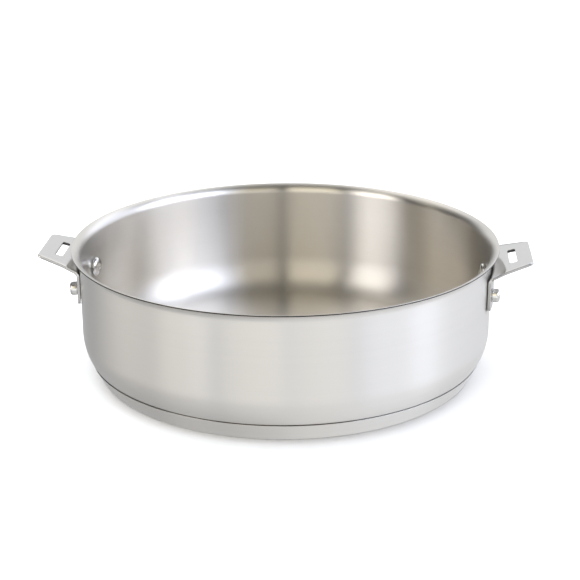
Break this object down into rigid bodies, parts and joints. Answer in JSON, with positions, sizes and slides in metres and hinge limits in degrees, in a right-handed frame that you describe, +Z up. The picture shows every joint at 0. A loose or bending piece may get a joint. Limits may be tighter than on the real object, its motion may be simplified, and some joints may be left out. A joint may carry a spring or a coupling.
{
  "type": "saute pan",
  "caption": "Round steel saute pan with tall straight walls, a flared pouring lip, a thick sandwich base and slotted side brackets for clip-on handles.",
  "frame": {"origin": "on the table under the middle of the base", "axes": "+Z up out of the pan, +X through the middle of the right-hand bracket, so -Y is the side the picture looks from"},
  "size_m": [0.336, 0.292, 0.0892],
  "materials": {
    "shell_steel": "satin, brushed round the axis",
    "core_aluminium": "matt",
    "capsule_steel": "fine satin",
    "bracket_steel": "fine satin",
    "rivet_steel": "polished"
  },
  "bodies": {
    "root": {"pan_shell": "shell_steel", "base_core": "core_aluminium", "base_capsule": "capsule_steel", "bracket_left": "bracket_steel", "bracket_right": "bracket_steel", "rivet_left_front": "rivet_steel", "rivet_left_rear": "rivet_steel", "rivet_right_front": "rivet_steel", "rivet_right_rear": "rivet_steel"}
  },
  "joints": []
}
